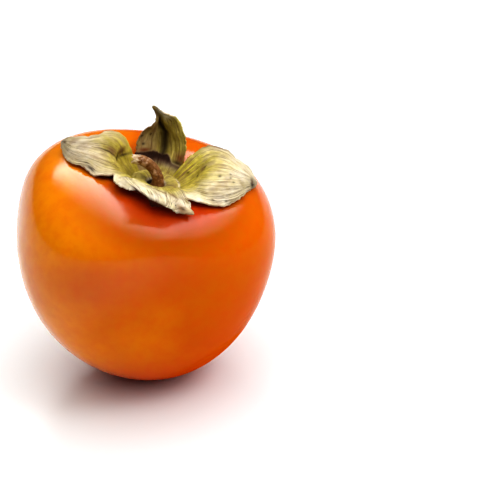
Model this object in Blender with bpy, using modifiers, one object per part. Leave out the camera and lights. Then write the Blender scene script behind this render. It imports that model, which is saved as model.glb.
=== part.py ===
"""A whole ripe persimmon: the fruit, its dried four-lobed calyx, the broken stem and the style's remnant.

Lengths are in metres, +Z is up and the flat rest spot under the fruit is at the origin.
The shapes are worked out in the fruit's own upright frame, with the widest section at z = 0 and the
calyx on top. An empty then leans them all together, the way the fruit rests beside its blossom point.
"""
import math

import bmesh
import bpy
import numpy as np
from mathutils import Matrix, Vector

MM = 0.001

# The fruit: a rounded body, squarer above than below, with a cavity for the calyx on top.
FRUIT_RADIUS = 38.8 * MM
LOWER_HEIGHT = 46.4 * MM
UPPER_HEIGHT = 26.2 * MM
LOWER_POWER = 1.93
UPPER_POWER = 2.72
CAVITY_DEPTH = 13.0 * MM
CAVITY_RADIUS = 14.0 * MM
# The cavity's floor is sunk a little more where the calyx disc sits.
PIT_DEPTH = 0.8 * MM
PIT_RADIUS = 8.0 * MM
DIMPLE_DEPTH = 1.6 * MM
DIMPLE_RADIUS = 2.2 * MM
# The four soft lobes and the slightly oval section, as shares of the radius and turns in degrees.
FOUR_LOBE_SHARE = 0.047
FOUR_LOBE_TURN = 58.0
OVAL_SHARE = 0.046
OVAL_TURN = 30.0
# The blossom point sits off the axis, towards +X.
APEX_SHIFT = 5.1 * MM
# The fruit leans towards +X as it rests, and is cut flat this far above its lowest point.
LEAN = math.radians(12.0)
REST_FLAT_DEPTH = 0.6 * MM
FRUIT_SEGMENTS = 64
FRUIT_RINGS = 40

# The calyx disc: (radius, height of its upper face over the skin), from the stem seat to the groove.
DISC_PROFILE = (
    (2.9 * MM, 2.7 * MM),
    (3.4 * MM, 3.3 * MM),
    (4.2 * MM, 3.8 * MM),
    (5.2 * MM, 3.8 * MM),
    (6.1 * MM, 3.3 * MM),
    (6.7 * MM, 2.4 * MM),
    (7.4 * MM, 1.6 * MM),
)
SEAT_HEIGHT = 2.8 * MM
GROOVE_RADIUS, GROOVE_HEIGHT = DISC_PROFILE[-1]
BLADE_THICKNESS = 0.65 * MM
# Free height between the skin and the disc's underside, and the least height of a sepal's upper face.
DISC_CLEARANCE = 0.95 * MM
LEAST_HEIGHT = 1.1 * MM

# Each cleft between two sepals: where it starts on the groove, in degrees, and the points that it runs
# through to its end, as (azimuth in degrees, distance from the axis, height over the skin) in mm.
CLEFTS = {
    "back_left": (136, [(136, 10.5, 1.9)]),
    "front_left": (233, [(233, 13, 2.6), (231, 20, 2.2)]),
    "front_right": (300, [(298, 13, 2.4), (291, 23.5, 2.4)]),
    "back_right": (50, [(50, 10.5, 1.9)]),
}

# Each sepal lies between two clefts, in the sense of +X to +Y. Its five ribs, like the main veins of a
# leaf, run from the disc to the tip. The first and the last are its margins, from the cleft on. Points
# are (azimuth in degrees, distance from the axis, height over the skin) in mm.
SEPALS = {
    # Broad, lying on the shoulder, with a crease along its middle and the back half arched up.
    "left": ("back_left", "front_left", (
        [(134, 12.5, 2.5), (134, 15, 3), (136, 18, 3.2), (139, 19, 3), (146, 20.5, 2.4), (166, 20.5, 3.2),
         (173, 22.5, 3.2), (173, 25.5, 3.2), (172, 28.5, 3.5)],
        [(160, 11.5, 1.9), (162, 12, 4.5), (168, 15, 5.5), (181, 18.5, 5), (183, 22.5, 4)],
        [(178, 12, 1.8), (181, 13.5, 2.8), (187, 17, 3.4), (190, 20.5, 3.6), (188, 24.5, 3.6)],
        [(203, 12, 2), (213, 15.5, 2.8), (215, 20, 3.6), (210, 22.5, 3.8), (202, 25, 3.5), (191, 27, 3)],
        [(232, 23.5, 2), (227, 24, 1.8), (222, 25, 1.7), (212, 26.5, 1.7), (200, 27.5, 1.7), (187, 28.5, 2)],
    ), (177, 29.5, 3.2)),
    # Narrow, reaching out over the shoulder and rolled down, with its point tucked under.
    "front": ("front_left", "front_right", (
        [(239, 24.5, 2.8), (245, 26, 3), (249, 26, 3), (252, 25.5, 3.2), (256, 26.5, 3.6), (261, 27.5, 3.6),
         (265, 28.5, 2.8)],
        [(248, 12, 1.9), (241, 18.5, 3.1), (256, 25.5, 4.5), (264, 29.5, 5.8), (267, 29.5, 4.3)],
        [(264, 12, 1.6), (264, 19.5, 1.4), (269, 25.5, 3.8), (270, 30.5, 6.6), (269, 29, 4)],
        [(279, 12, 1.6), (279, 19.5, 1.4), (279, 26.5, 4), (280, 30.5, 5.8), (274, 29.5, 4.2)],
        [(292, 26, 2.4), (293, 27.5, 2.2), (289, 28.5, 2.4), (286, 29, 2.6), (281, 28.5, 2.6), (274, 28, 2)],
    ), (268, 27.5, 1.5)),
    # The broadest, arched over the shoulder, with a waved front margin and a raised back one.
    "right": ("front_right", "back_right", (
        [(293, 25, 2.6), (296, 25, 2.9), (300, 25, 2.9), (304, 25.5, 2.4), (308, 26, 1.8), (313, 27, 1.7),
         (321, 27, 1.7), (330, 27.5, 1.7), (337, 27, 1.8), (344, 27, 1.8), (355, 28.5, 1.8)],
        [(322, 12, 1.8), (306, 19.5, 2.8), (311, 23, 3.8), (325, 24.5, 3.4), (341, 26, 2.6)],
        [(355, 12, 1.8), (342, 13.5, 3.2), (332, 16.5, 4.6), (337, 20.5, 4.6), (349, 24.5, 3.2)],
        [(24, 12, 1.8), (22, 14, 3.4), (19, 16, 4.2), (10, 19, 4.5), (5, 24, 3.2)],
        [(50, 13, 2.2), (49, 14.5, 2.4), (48, 16.5, 2.8), (48, 18, 3.2), (45, 18.5, 3.8), (40, 19.5, 4.2),
         (34, 20.5, 4.2), (26, 21.5, 4.2), (23, 24, 3.2), (22, 26.5, 2.4), (16, 28.5, 1.8)],
    ), (3, 29.5, 2)),
    # Standing upright, folded along its middle, with a thin beak bent to the left.
    "back": ("back_right", "back_left", (
        [(51, 11.3, 2.8), (54, 12.4, 3.9), (57, 13.2, 5.2), (61, 13.2, 7.5), (66, 13.1, 9.1), (71, 13, 11.1),
         (75, 12.9, 12.5), (82, 12.9, 13.2), (88, 13.2, 12.4), (94, 13.4, 12.7), (102, 13.6, 13.8)],
        [(69, 10.5, 1.9), (69, 12, 1.4), (72, 13.6, 3.7), (80, 14.5, 7), (86, 14.4, 10.4), (95, 13.6, 12.1)],
        [(92, 11, 1.8), (90, 15, 1.4), (91, 16, 2.8), (92, 16, 5.9), (93, 14.9, 9.6), (97, 13.8, 11.7)],
        [(115, 10.5, 1.9), (106, 12.3, 1.4), (107, 14, 3), (104, 14.8, 6.2), (98, 14.5, 9), (98, 13.9, 11.3)],
        [(127, 11.3, 2.4), (127, 12.5, 3), (124, 13.3, 4.2), (120, 13.5, 6), (115, 13.3, 8), (110, 13.3, 9.5),
         (104, 13.2, 10.4), (101, 13.6, 11.1), (106, 13.7, 12.8)],
    ), (111, 13.9, 14.6)),
}
SEPAL_ORDER = ("right", "back", "left", "front")
# Rows of the sheet beside the clefts and beyond them, and columns from margin to margin.
WEB_ROWS = 3
BLADE_ROWS = 16
SEPAL_COLUMNS = 10
RELAX_PASSES = 3
# A sepal narrower than this is flattened across, by this power of its share of the width.
FLAT_WIDTH = 6.0 * MM
FLATTENING_POWER = 0.5
# How far the spacing along a smooth curve follows the distances between its points.
SPACING_POWER = 0.75

# The stem: centre line in the plane y = 0, as (x, z, radius), bent over to the left.
STEM_LINE = (
    (0.6 * MM, 15.9 * MM, 2.05 * MM),
    (0.3 * MM, 18.6 * MM, 1.95 * MM),
    (-1.7 * MM, 21.5 * MM, 1.85 * MM),
    (-4.7 * MM, 23.3 * MM, 1.65 * MM),
    (-7.2 * MM, 23.4 * MM, 1.45 * MM),
)
STEM_SEAT_GAP = 0.5 * MM
STEM_RINGS = 14
STEM_RING_RESOLUTION = 4
# The break at the free end: slanted by this much, with this many teeth as a share of the slant.
STEM_BREAK = 0.7 * MM
BREAK_TEETH = 5
BREAK_TOOTH_SHARE = 0.6

# The dried point of the style, in the dimple under the fruit.
STYLE_RADIUS = 0.8 * MM
STYLE_LENGTH = 1.0 * MM
STYLE_GAP = 0.35 * MM
STYLE_SEGMENTS = 12

# Corners closer than this are one; a corner of the stem's end lies within the second distance of it.
WELD_DISTANCE = 0.005 * MM
END_DISTANCE = 0.05 * MM

# Plain finishes, as (red, green, blue) and roughness.
FINISHES = {
    "orange_skin": ((0.83, 0.22, 0.01), 0.25),
    "dried_sepal": ((0.62, 0.55, 0.33), 0.7),
    "stem_bark": ((0.16, 0.06, 0.02), 0.8),
    "dark_point": ((0.03, 0.02, 0.01), 0.8),
}


def fruit_surface(latitude, azimuth):
    """Points on the skin, from latitude -90 at the blossom end to 90 at the calyx, in degrees."""
    lat = np.radians(np.asarray(latitude, float))
    turn = np.radians(np.asarray(azimuth, float))
    across, rise = np.cos(lat), np.sin(lat)
    upper = rise > 0
    power = np.where(upper, UPPER_POWER, LOWER_POWER)
    reach = (np.abs(across) ** power + np.abs(rise) ** power) ** (-1 / power)
    lobes = FOUR_LOBE_SHARE * np.cos(4 * (turn - math.radians(FOUR_LOBE_TURN))) * across ** 2
    oval = OVAL_SHARE * np.cos(2 * (turn - math.radians(OVAL_TURN))) * across
    radius = FRUIT_RADIUS * reach * across * (1 + lobes + oval)
    cavity = CAVITY_DEPTH * np.exp(-(radius / CAVITY_RADIUS) ** 2)
    cavity += PIT_DEPTH * np.exp(-(radius / PIT_RADIUS) ** 4)
    dimple = DIMPLE_DEPTH * np.exp(-(radius / DIMPLE_RADIUS) ** 2)
    height = np.where(upper, UPPER_HEIGHT * reach * rise - cavity, LOWER_HEIGHT * reach * rise + dimple)
    shift = np.where(upper, 0.0, APEX_SHIFT * (reach * rise) ** 2)
    return np.stack([radius * np.cos(turn) + shift, radius * np.sin(turn), height], -1)


def skin_height(x, y, halvings=36):
    """Height of the upper skin over points in plan, found by halving the span of latitudes."""
    distance = np.hypot(x, y)
    azimuth = np.degrees(np.arctan2(y, x))
    low = np.zeros_like(distance)
    high = np.full_like(distance, 90.0)
    for _ in range(halvings):
        middle = (low + high) / 2
        point = fruit_surface(middle, azimuth)
        outside = np.hypot(point[..., 0], point[..., 1]) > distance
        low = np.where(outside, middle, low)
        high = np.where(outside, high, middle)
    return fruit_surface(low, azimuth)[..., 2]


def over_skin(azimuth, distance, height):
    """Points at a height over the skin, from their azimuth in degrees and distance from the axis."""
    turn = np.radians(np.asarray(azimuth, float))
    x, y = distance * np.cos(turn), distance * np.sin(turn)
    return np.stack([x, y, skin_height(x, y) + height], -1)


def smooth_curve(points, steps=400):
    """A dense smooth curve through the points, and the index at which it passes each of them."""
    points = np.asarray(points, float)
    chords = np.linalg.norm(np.diff(points, axis=0), axis=1) ** SPACING_POWER
    knots = np.concatenate([[0], np.cumsum(chords)]) / chords.sum()
    slopes = np.diff(points, axis=0) / np.diff(knots)[:, None]
    tangents = np.concatenate([slopes[:1], slopes[1:], slopes[-1:]])
    if len(points) > 2:
        before, after = np.diff(knots)[:-1, None], np.diff(knots)[1:, None]
        tangents[1:-1] = (slopes[:-1] * after + slopes[1:] * before) / (before + after)
    places = np.linspace(0, 1, steps)
    span = np.clip(np.searchsorted(knots, places, side="right") - 1, 0, len(points) - 2)
    width = (knots[span + 1] - knots[span])[:, None]
    t = (places - knots[span])[:, None] / width
    curve = ((2 * t ** 3 - 3 * t ** 2 + 1) * points[span] + (3 * t ** 2 - 2 * t ** 3) * points[span + 1]
             + width * ((t ** 3 - 2 * t ** 2 + t) * tangents[span] + (t ** 3 - t ** 2) * tangents[span + 1]))
    return curve, np.rint(knots * (steps - 1)).astype(int)


def even_points(curve, count):
    """Points at even distances along a dense curve, both ends included."""
    length = np.concatenate([[0], np.cumsum(np.linalg.norm(np.diff(curve, axis=0), axis=1))])
    wanted = np.linspace(0, length[-1], count)
    return np.stack([np.interp(wanted, length, curve[:, axis]) for axis in range(3)], -1)


def sepal_grid(name):
    """Upper face of one sepal, as rows from the groove to the tip and columns across it."""
    first_cleft, last_cleft, ribs, tip = SEPALS[name]
    start, end = CLEFTS[first_cleft][0], CLEFTS[last_cleft][0]
    if end < start:
        end += 360
    last = len(ribs) - 1
    sampled = []
    for index, rib in enumerate(ribs):
        foot = over_skin(start + (end - start) * index / last, GROOVE_RADIUS, GROOVE_HEIGHT)
        points = [over_skin(a, d * MM, h * MM) for a, d, h in list(rib) + [tip]]
        if index in (0, last):
            cleft = CLEFTS[first_cleft if index == 0 else last_cleft][1]
            web = [foot] + [over_skin(a, d * MM, h * MM) for a, d, h in cleft]
            inner = even_points(smooth_curve(web)[0], WEB_ROWS + 1)
            outer = even_points(smooth_curve(web[-1:] + points)[0], BLADE_ROWS + 1)
        else:
            curve, passes = smooth_curve([foot] + points)
            inner = even_points(curve[:passes[1] + 1], WEB_ROWS + 1)
            outer = even_points(curve[passes[1]:], BLADE_ROWS + 1)
        sampled.append(np.concatenate([inner, outer[1:]]))
    grid = relaxed(across_ribs(np.array(sampled), SEPAL_COLUMNS))
    azimuths = start + (end - start) * np.arange(SEPAL_COLUMNS + 1) / SEPAL_COLUMNS
    grid[0] = over_skin(azimuths, GROOVE_RADIUS, GROOVE_HEIGHT)
    skin = skin_height(grid[1:, :, 0], grid[1:, :, 1])
    grid[1:, :, 2] = np.maximum(grid[1:, :, 2], skin + LEAST_HEIGHT)
    return grid


def relaxed(grid):
    """Even out sharp bends beyond the cleft rows, along the margins and inside them; the tip stays."""
    for _ in range(RELAX_PASSES):
        smooth = grid.copy()
        smooth[1:-1] = (grid[:-2] + grid[2:] + 2 * grid[1:-1]) / 4
        smooth[1:-1, 1:-1] = (smooth[1:-1, 1:-1] + (grid[1:-1, :-2] + grid[1:-1, 2:]) / 2) / 2
        smooth[:WEB_ROWS + 1, [0, -1]] = grid[:WEB_ROWS + 1, [0, -1]]
        grid = smooth
    return grid


def across_ribs(ribs, columns):
    """Spread columns evenly over the ribs, along a smooth curve through each row, flatter where narrow."""
    last = len(ribs) - 1
    places = np.linspace(0, last, columns + 1)
    span = np.minimum(places.astype(int), last - 1)
    t = (places - span)[:, None, None]
    padded = np.concatenate([[2 * ribs[0] - ribs[1]], ribs, [2 * ribs[-1] - ribs[-2]]])
    before, here, there, after = padded[span], padded[span + 1], padded[span + 2], padded[span + 3]
    slope_here, slope_there = (there - before) / 2, (after - here) / 2
    rows = (here * (2 * t ** 3 - 3 * t ** 2 + 1) + there * (3 * t ** 2 - 2 * t ** 3)
            + slope_here * (t ** 3 - 2 * t ** 2 + t) + slope_there * (t ** 3 - t ** 2))
    chord = ribs[0] + (ribs[-1] - ribs[0]) * (np.arange(columns + 1) / columns)[:, None, None]
    width = np.linalg.norm(ribs[-1] - ribs[0], axis=-1)
    bulge = np.clip(width / FLAT_WIDTH, 0, 1)[:, None] ** FLATTENING_POWER
    return (chord + (rows - chord) * bulge).transpose(1, 0, 2)


def material(name):
    """A plain finish in the part's colour."""
    colour, roughness = FINISHES[name]
    finish = bpy.data.materials.new(name)
    finish.use_nodes = True
    shader = finish.node_tree.nodes["Principled BSDF"]
    shader.inputs["Base Color"].default_value = (*colour, 1.0)
    shader.inputs["Roughness"].default_value = roughness
    shader.inputs["Metallic"].default_value = 0.0
    return finish


def add_object(name, mesh, collection, parent, finish):
    """Put a mesh in the collection as a smooth-shaded object under the leaning empty."""
    mesh.materials.append(finish)
    mesh.shade_smooth()
    thing = bpy.data.objects.new(name, mesh)
    thing.parent = parent
    collection.objects.link(thing)
    return thing


def build_fruit():
    """The fruit's body, and the centre of the flat spot that it rests on, both in its own frame."""
    bm = bmesh.new()
    bmesh.ops.create_uvsphere(bm, u_segments=FRUIT_SEGMENTS, v_segments=FRUIT_RINGS, radius=1.0)
    places = np.array([vert.co[:] for vert in bm.verts])
    latitude = np.degrees(np.arcsin(np.clip(places[:, 2], -1, 1)))
    azimuth = np.degrees(np.arctan2(places[:, 1], places[:, 0]))
    for vert, point in zip(bm.verts, fruit_surface(latitude, azimuth)):
        vert.co = point
    down = Matrix.Rotation(-LEAN, 3, "Y") @ Vector((0, 0, -1))
    lowest = max(vert.co.dot(down) for vert in bm.verts)
    plane = down * (lowest - REST_FLAT_DEPTH)
    everything = bm.verts[:] + bm.edges[:] + bm.faces[:]
    cut = bmesh.ops.bisect_plane(bm, geom=everything, dist=WELD_DISTANCE, plane_co=plane, plane_no=down,
                                 clear_outer=True)
    rim = [item for item in cut["geom_cut"] if isinstance(item, bmesh.types.BMEdge)]
    flat = bmesh.ops.contextual_create(bm, geom=rim)["faces"][0]
    centre = flat.calc_center_median()
    bmesh.ops.recalc_face_normals(bm, faces=bm.faces)
    mesh = bpy.data.meshes.new("fruit")
    bm.to_mesh(mesh)
    bm.free()
    return mesh, centre


def build_calyx():
    """The calyx as one open sheet, with its wanted thickness at each vertex."""
    bm = bmesh.new()
    made = []
    thickness = []

    def vertex(point, thick):
        made.append(bm.verts.new(point))
        thickness.append(thick)
        return made[-1]

    grids = {name: sepal_grid(name) for name in SEPAL_ORDER}
    groove = []
    cleft_rows = {}
    tables = {}
    for name in SEPAL_ORDER:
        first_cleft, last_cleft = SEPALS[name][:2]
        grid = grids[name]
        table = [[None] * (SEPAL_COLUMNS + 1) for _ in grid]
        tip = vertex(grid[-1, 0], BLADE_THICKNESS)
        for row, points in enumerate(grid):
            web_share = max(0.0, 1 - row / WEB_ROWS)
            thick = BLADE_THICKNESS + (GROOVE_HEIGHT - DISC_CLEARANCE - BLADE_THICKNESS) * web_share
            for column, point in enumerate(points):
                side = {0: first_cleft, SEPAL_COLUMNS: last_cleft}.get(column)
                shared = (side, row) if side and row <= WEB_ROWS else None
                if row == len(grid) - 1:
                    table[row][column] = tip
                elif shared in cleft_rows:
                    table[row][column] = cleft_rows[shared]
                else:
                    table[row][column] = vertex(point, thick)
                    if shared:
                        cleft_rows[shared] = table[row][column]
        tables[name] = table
        groove += table[0][:-1]
    for table in tables.values():
        for lower, upper in zip(table, table[1:]):
            for corner in range(SEPAL_COLUMNS):
                loop = [lower[corner], upper[corner], upper[corner + 1], lower[corner + 1]]
                bm.faces.new(list(dict.fromkeys(loop)))
    azimuths = [math.degrees(math.atan2(vert.co.y, vert.co.x)) for vert in groove]
    outer = groove
    for radius, height in DISC_PROFILE[-2::-1]:
        inner = [vertex(point, height - DISC_CLEARANCE) for point in over_skin(azimuths, radius, height)]
        for index in range(len(outer)):
            after = (index + 1) % len(outer)
            bm.faces.new([inner[index], outer[index], outer[after], inner[after]])
        outer = inner
    middle = vertex(over_skin(0.0, 0.0, SEAT_HEIGHT), SEAT_HEIGHT - DISC_CLEARANCE)
    for index in range(len(outer)):
        bm.faces.new([middle, outer[index], outer[(index + 1) % len(outer)]])
    bmesh.ops.triangulate(bm, faces=bm.faces)
    mesh = bpy.data.meshes.new("calyx")
    bm.verts.index_update()
    bm.to_mesh(mesh)
    bm.free()
    return mesh, thickness


def thicken(thing, thickness):
    """Give the sheet its body below the upper face, by a vertex group that holds each share."""
    most = max(thickness)
    group = thing.vertex_groups.new(name="thickness")
    for index, value in enumerate(thickness):
        group.add([index], value / most, "REPLACE")
    solidify = thing.modifiers.new("body", "SOLIDIFY")
    solidify.thickness = most
    solidify.offset = -1.0
    solidify.vertex_group = group.name
    solidify.use_rim = True


def build_stem(collection):
    """The stem as a tube along its centre line, with a slanted and jagged break at its free end."""
    line = np.array([(x, 0.0, z) for x, z, _ in STEM_LINE])
    line[0, 2] = float(skin_height(line[0, 0], 0.0)) + SEAT_HEIGHT + STEM_SEAT_GAP
    curve, passes = smooth_curve(line)
    rings = even_points(curve, STEM_RINGS)
    radii = np.interp(np.linspace(0, len(curve) - 1, STEM_RINGS), passes, [r for _, _, r in STEM_LINE])
    data = bpy.data.curves.new("stem_line", "CURVE")
    data.dimensions = "3D"
    data.bevel_depth = 1.0
    data.bevel_resolution = STEM_RING_RESOLUTION
    data.use_fill_caps = True
    spline = data.splines.new("POLY")
    spline.points.add(STEM_RINGS - 1)
    for point, place, radius in zip(spline.points, rings, radii):
        point.co = (*place, 1.0)
        point.radius = radius
    guide = bpy.data.objects.new("stem_line", data)
    collection.objects.link(guide)
    evaluated = guide.evaluated_get(bpy.context.evaluated_depsgraph_get())
    mesh = bpy.data.meshes.new_from_object(evaluated)
    mesh.name = "stem"
    bpy.data.objects.remove(guide)
    bm = bmesh.new()
    bm.from_mesh(mesh)
    bmesh.ops.remove_doubles(bm, verts=bm.verts, dist=WELD_DISTANCE)
    end = Vector(rings[-1])
    along = (end - Vector(rings[-2])).normalized()
    broken = [vert for vert in bm.verts if abs((vert.co - end).dot(along)) < END_DISTANCE]
    for vert in broken:
        around = math.atan2((vert.co - end).y, (vert.co - end).z)
        teeth = BREAK_TOOTH_SHARE * math.cos(BREAK_TEETH * around)
        vert.co += along * STEM_BREAK * (math.sin(around) + teeth)
    bmesh.ops.triangulate(bm, faces=[face for face in bm.faces if len(face.verts) > 4])
    bmesh.ops.recalc_face_normals(bm, faces=bm.faces)
    bm.to_mesh(mesh)
    bm.free()
    return mesh


def build_style():
    """The style's dried point: a small tapered stub that hangs in the dimple."""
    bm = bmesh.new()
    root = Vector(fruit_surface(-90.0, 0.0)) - Vector((0, 0, STYLE_GAP))
    centre = root - Vector((0, 0, STYLE_LENGTH / 2))
    bmesh.ops.create_cone(bm, cap_ends=True, segments=STYLE_SEGMENTS, radius1=STYLE_RADIUS / 2,
                          radius2=STYLE_RADIUS, depth=STYLE_LENGTH, matrix=Matrix.Translation(centre))
    mesh = bpy.data.meshes.new("style_remnant")
    bm.to_mesh(mesh)
    bm.free()
    return mesh


def main():
    for thing in list(bpy.data.objects):
        bpy.data.objects.remove(thing)
    collection = bpy.data.collections.new("persimmon")
    bpy.context.scene.collection.children.link(collection)
    frame = bpy.data.objects.new("leaning_frame", None)
    collection.objects.link(frame)

    mesh, rest_centre = build_fruit()
    frame.rotation_euler = (0, LEAN, 0)
    frame.location = -(Matrix.Rotation(LEAN, 3, "Y") @ rest_centre)
    add_object("fruit", mesh, collection, frame, material("orange_skin"))

    mesh, thickness = build_calyx()
    calyx = add_object("calyx", mesh, collection, frame, material("dried_sepal"))
    thicken(calyx, thickness)

    mesh = build_stem(collection)
    add_object("stem", mesh, collection, frame, material("stem_bark"))

    mesh = build_style()
    add_object("style_remnant", mesh, collection, frame, material("dark_point"))


main()
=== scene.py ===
import math

import bpy
import numpy as np
from mathutils import Matrix, Vector, noise


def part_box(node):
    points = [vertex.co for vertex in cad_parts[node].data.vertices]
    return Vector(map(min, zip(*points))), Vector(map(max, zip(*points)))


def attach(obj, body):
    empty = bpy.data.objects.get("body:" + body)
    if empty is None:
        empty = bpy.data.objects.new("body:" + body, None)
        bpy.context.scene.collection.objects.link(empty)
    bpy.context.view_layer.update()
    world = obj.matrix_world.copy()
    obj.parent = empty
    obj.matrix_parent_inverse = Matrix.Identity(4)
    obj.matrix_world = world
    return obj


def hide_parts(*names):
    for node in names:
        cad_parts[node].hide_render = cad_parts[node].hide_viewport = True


# The looks of a whole ripe persimmon. The shapes are worked out in millimetres in the fruit's own upright
# frame, with the widest section at z = 0 and the calyx on top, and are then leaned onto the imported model.

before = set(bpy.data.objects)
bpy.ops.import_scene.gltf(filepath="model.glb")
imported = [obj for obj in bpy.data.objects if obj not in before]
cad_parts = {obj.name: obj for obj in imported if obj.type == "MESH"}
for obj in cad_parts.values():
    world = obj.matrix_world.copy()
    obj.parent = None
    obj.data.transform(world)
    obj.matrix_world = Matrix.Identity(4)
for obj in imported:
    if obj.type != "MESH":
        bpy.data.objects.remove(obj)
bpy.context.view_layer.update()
scene = bpy.context.scene

MM = 0.001

# The fruit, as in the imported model.
FRUIT_RADIUS = 38.8
LOWER_HEIGHT = 46.4
UPPER_HEIGHT = 26.2
LOWER_POWER = 1.93
UPPER_POWER = 2.72
CAVITY_DEPTH = 13.0
CAVITY_RADIUS = 14.0
PIT_DEPTH = 0.8
PIT_RADIUS = 8.0
DIMPLE_DEPTH = 1.6
DIMPLE_RADIUS = 2.2
FOUR_LOBE_SHARE = 0.047
FOUR_LOBE_TURN = 58.0
OVAL_SHARE = 0.046
OVAL_TURN = 30.0
APEX_SHIFT = 5.1
LEAN = math.radians(12.0)
SKIN_SEGMENTS = 256
SKIN_RINGS = 160
# Faint unevenness of the skin: (size of the swellings, height).
SKIN_SWELLINGS = ((13.0, 0.10), (4.0, 0.015))

# The calyx disc: (radius, height over the skin), from the stem seat to the groove.
DISC_PROFILE = ((2.3, 3.1), (2.6, 3.8), (3.4, 4.3), (4.3, 4.2),
                (5.3, 3.8), (6.1, 3.1), (6.7, 2.2), (7.4, 1.6))
SEAT_HEIGHT = 2.8
GROOVE_RADIUS, GROOVE_HEIGHT = DISC_PROFILE[-1]
SHEET_THICKNESS = 0.42
SHEET_CLEARANCE = 0.15

# Each cleft between two sepals: its azimuth on the groove, and the points that it runs through, as
# (azimuth in degrees, distance from the axis, height over the skin).
CLEFTS = {
    "back_left": (136, [(136, 10.5, 1.9)]),
    "front_left": (233, [(233, 13, 2.6), (231, 20, 2.2)]),
    "front_right": (300, [(298, 13, 2.4), (291, 23.5, 2.4)]),
    "back_right": (50, [(50, 10.5, 1.9)]),
}

# Each sepal lies between two clefts and has five ribs and a tip, with points as above.
SEPALS = {
    "left": ("back_left", "front_left", (
        [(134, 12.5, 2.5), (134, 15, 3), (136, 18, 3.2), (139, 19, 3), (146, 20.5, 2.4), (166, 20.5, 3.2),
         (173, 22.5, 3.2), (173, 25.5, 3.2), (172, 28.5, 3.5)],
        [(160, 11.5, 1.9), (162, 12, 4.5), (168, 15, 5.5), (181, 18.5, 5), (183, 22.5, 4)],
        [(178, 12, 1.8), (181, 13.5, 2.8), (187, 17, 3.4), (190, 20.5, 3.6), (188, 24.5, 3.6)],
        [(203, 12, 2), (213, 15.5, 2.8), (215, 20, 3.6), (210, 22.5, 3.8), (202, 25, 3.5), (191, 27, 3)],
        [(232, 23.5, 2), (227, 24, 1.8), (222, 25, 1.7), (212, 26.5, 1.7), (200, 27.5, 1.7),
         (187, 28.5, 2)],
    ), (177, 29.5, 3.2)),
    "front": ("front_left", "front_right", (
        [(239, 24.5, 2.8), (245, 26, 3), (249, 26, 3), (252, 25.5, 3.2), (256, 26.5, 3.6), (261, 27.5, 3.6),
         (265, 28.5, 2.8)],
        [(248, 12, 1.9), (241, 18.5, 3.1), (256, 25.5, 4.5), (264, 29.5, 5.8), (267, 29.5, 4.3)],
        [(264, 12, 1.6), (264, 19.5, 1.4), (269, 25.5, 3.8), (270, 30.5, 6.6), (269, 29, 4)],
        [(279, 12, 1.6), (279, 19.5, 1.4), (279, 26.5, 4), (280, 30.5, 5.8), (274, 29.5, 4.2)],
        [(292, 26, 2.4), (293, 27.5, 2.2), (289, 28.5, 2.4), (286, 29, 2.6), (281, 28.5, 2.6),
         (274, 28, 2)],
    ), (268, 27.5, 1.5)),
    "right": ("front_right", "back_right", (
        [(293, 25, 2.6), (296, 25, 2.9), (300, 25, 2.9), (304, 25.5, 2.4), (308, 26, 1.8), (313, 27, 1.7),
         (321, 27, 1.7), (330, 27.5, 1.7), (337, 27, 1.8), (344, 27, 1.8), (355, 28.5, 1.8)],
        [(322, 12, 1.8), (306, 19.5, 2.8), (311, 23, 3.8), (325, 24.5, 3.4), (341, 26, 2.6)],
        [(355, 12, 1.8), (342, 13.5, 3.2), (332, 16.5, 4.6), (337, 20.5, 4.6), (349, 24.5, 3.2)],
        [(24, 12, 1.8), (22, 14, 3.4), (19, 16, 4.2), (10, 19, 4.5), (5, 24, 3.2)],
        [(50, 13, 2.2), (49, 14.5, 2.4), (48, 16.5, 2.8), (48, 18, 3.2), (45, 18.5, 3.8), (40, 19.5, 4.2),
         (34, 20.5, 4.2), (26, 21.5, 4.2), (23, 24, 3.2), (22, 26.5, 2.4), (16, 28.5, 1.8)],
    ), (3, 29.5, 2)),
    "back": ("back_right", "back_left", (
        [(51, 11.3, 2.8), (54, 12.4, 3.9), (57, 13.2, 5.2), (61, 13.2, 7.5), (66, 13.1, 9.1),
         (71, 13, 11.1), (75, 12.9, 12.5), (82, 12.9, 13.2), (88, 13.2, 12.4), (94, 13.4, 12.7),
         (102, 13.6, 13.8)],
        [(69, 10.5, 1.9), (69, 12, 1.4), (72, 13.6, 3.7), (80, 14.5, 7), (86, 14.4, 10.4),
         (95, 13.6, 12.1)],
        [(92, 11, 1.8), (90, 15, 1.4), (91, 16, 2.8), (92, 16, 5.9), (93, 14.9, 9.6), (97, 13.8, 11.7)],
        [(115, 10.5, 1.9), (106, 12.3, 1.4), (107, 14, 3), (104, 14.8, 6.2), (98, 14.5, 9),
         (98, 13.9, 11.3)],
        [(127, 11.3, 2.4), (127, 12.5, 3), (124, 13.3, 4.2), (120, 13.5, 6), (115, 13.3, 8),
         (110, 13.3, 9.5), (104, 13.2, 10.4), (101, 13.6, 11.1), (106, 13.7, 12.8)],
    ), (111, 13.9, 14.6)),
}
SEPAL_ORDER = ("right", "back", "left", "front")
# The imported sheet's rows and columns, its smoothing, and the finer rows and columns in each.
WEB_ROWS = 3
BLADE_ROWS = 16
SEPAL_COLUMNS = 10
RELAX_PASSES = 3
FLAT_WIDTH = 6.0
FLATTENING_POWER = 0.5
SPACING_POWER = 0.75
FINER_ROWS = 5
FINER_COLUMNS = 8
DISC_RINGS = 26
# A length that keeps divisions safe.
TINY = 1e-9

# Relief of the sepals, in mm. Places run across a sepal from -1 to 1 and along it from 0 to 1. A pair such
# as VEIN_START says where a ramp is 0 and 1.
SEED_STEP = 10.0
VEIN_LANES, VEIN_WAVES = 7.0, 2.0
VEIN_HEIGHT = 0.22
VEIN_START = (0.05, 0.3)
RIDGE_POWER = 0.6
CRUMPLE = ((5.0, 0.30), (1.8, 0.14))
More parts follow.
